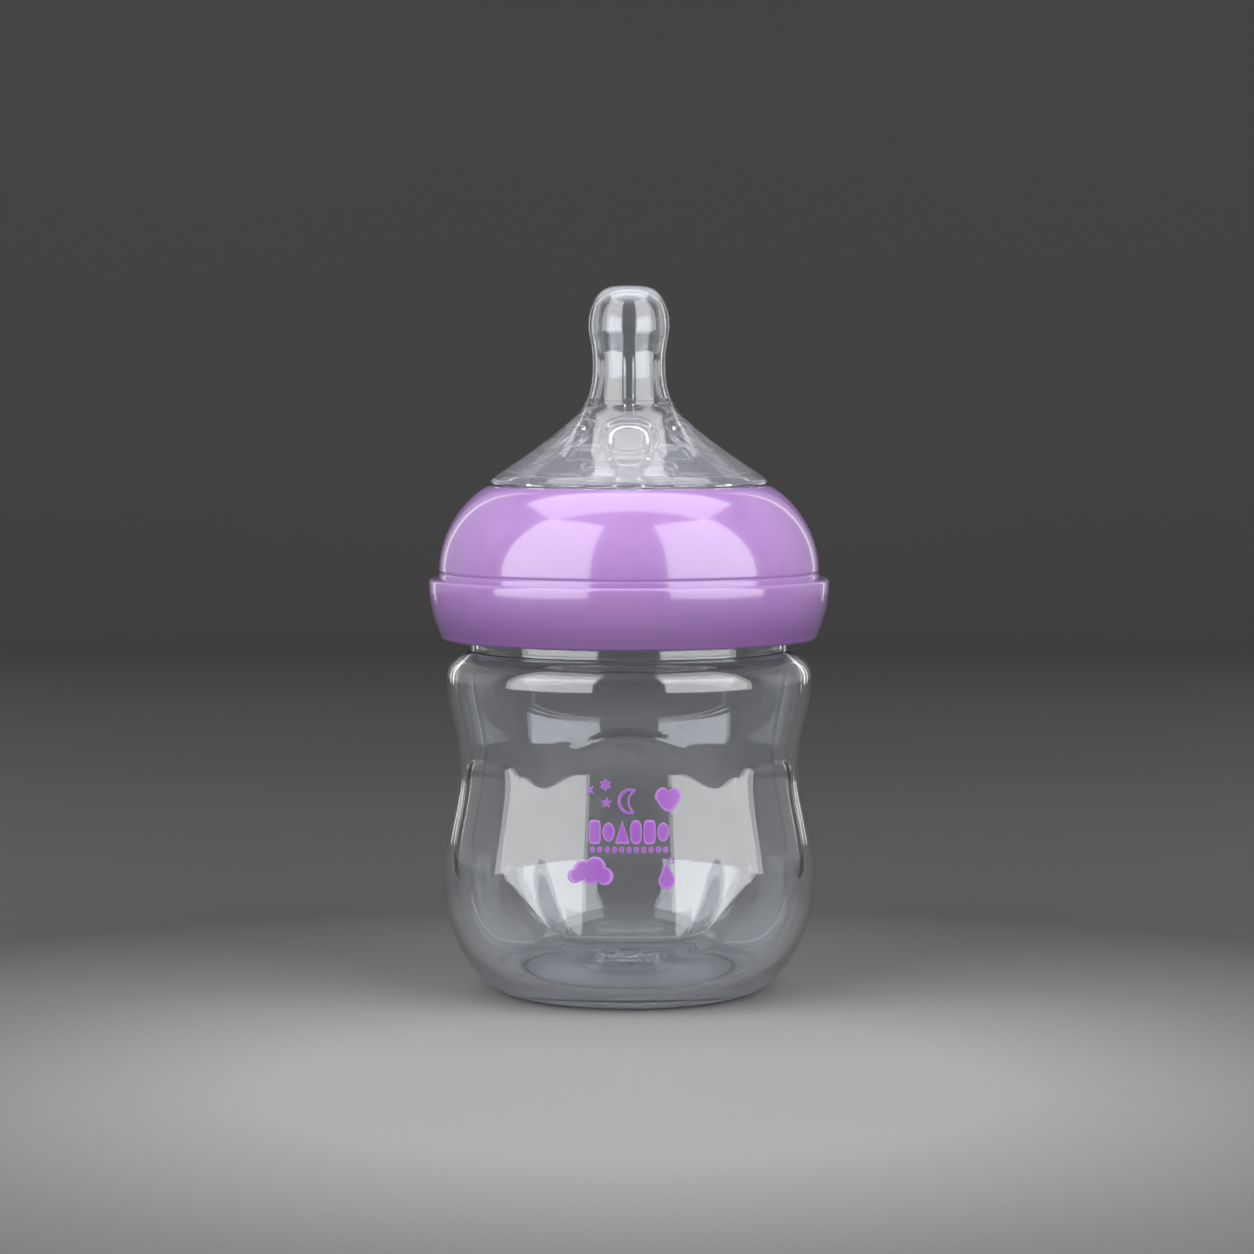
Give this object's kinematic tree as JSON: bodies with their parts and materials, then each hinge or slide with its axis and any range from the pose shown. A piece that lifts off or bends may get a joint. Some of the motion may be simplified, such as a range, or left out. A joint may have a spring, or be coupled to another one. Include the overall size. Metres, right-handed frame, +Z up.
{
  "type": "baby bottle",
  "caption": "Wide-neck baby bottle: clear waisted body with a threaded neck, domed screw collar with a ledge for a hood, and a vented silicone teat that the collar clamps on the rim.",
  "frame": {"origin": "middle of the flat ring that the bottle stands on", "axes": "+Z up along the bottle's axis, the picture side faces -Y, +X to its right as seen from the front"},
  "size_m": [0.0702, 0.0702, 0.1239],
  "materials": {
    "clear_body": "glossy, clear",
    "lilac_collar": "semi-gloss moulded",
    "silicone_teat": "smooth translucent silicone"
  },
  "bodies": {
    "bottle": {"bottle_body": "clear_body"},
    "teat": {"teat": "silicone_teat"},
    "collar": {"screw_collar": "lilac_collar"}
  },
  "joints": [
    {"name": "teat_lift", "type": "slide", "parent": "bottle", "child": "teat", "axis": [0, 0, 1], "range_m": [0, 0.0075]},
    {"name": "collar_turn", "type": "hinge", "parent": "teat", "child": "collar", "pos_m": [0, 0, 0.07285], "axis": [0, 0, 1], "range_deg": [0, 450]}
  ],
  "couplings": [
    {"joint": "teat_lift", "follows": "collar_turn", "m_per_rad": 0.00095493}
  ]
}
